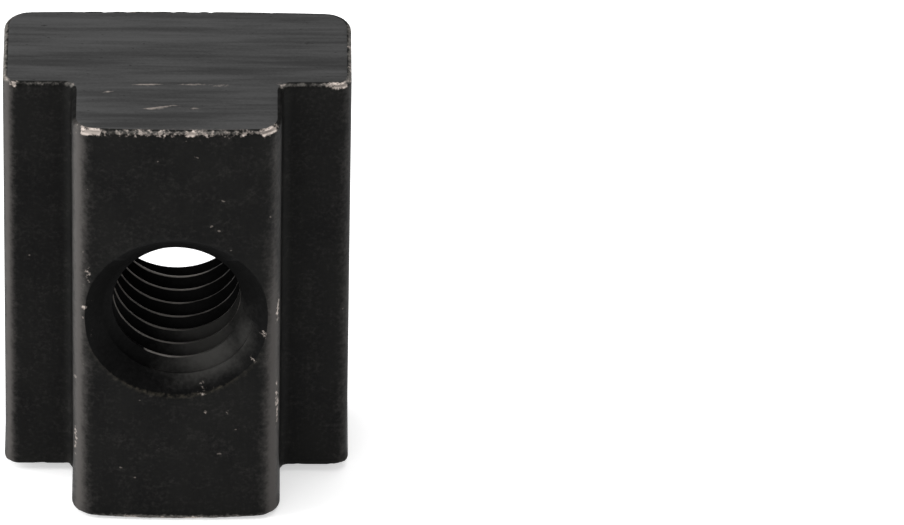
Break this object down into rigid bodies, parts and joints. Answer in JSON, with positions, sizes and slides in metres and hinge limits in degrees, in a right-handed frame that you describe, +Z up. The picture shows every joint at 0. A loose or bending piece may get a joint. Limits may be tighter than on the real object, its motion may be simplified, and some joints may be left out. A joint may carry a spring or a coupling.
{
  "type": "t slot nut",
  "caption": "Solid steel nut of T section with a threaded through hole, which slides along a T slot and pulls up against its lips.",
  "frame": {"origin": "middle of the lower sawn end: x at mid width, y at mid height of the section", "axes": "+Z up along the bar's length, +X across the base, -Y out of the neck face along the threaded hole"},
  "size_m": [0.023, 0.014, 0.0318],
  "materials": {
    "black_oxide_steel": "black oxide on drawn and sawn steel, satin"
  },
  "bodies": {
    "root": {"nut_body": "black_oxide_steel"}
  },
  "joints": []
}
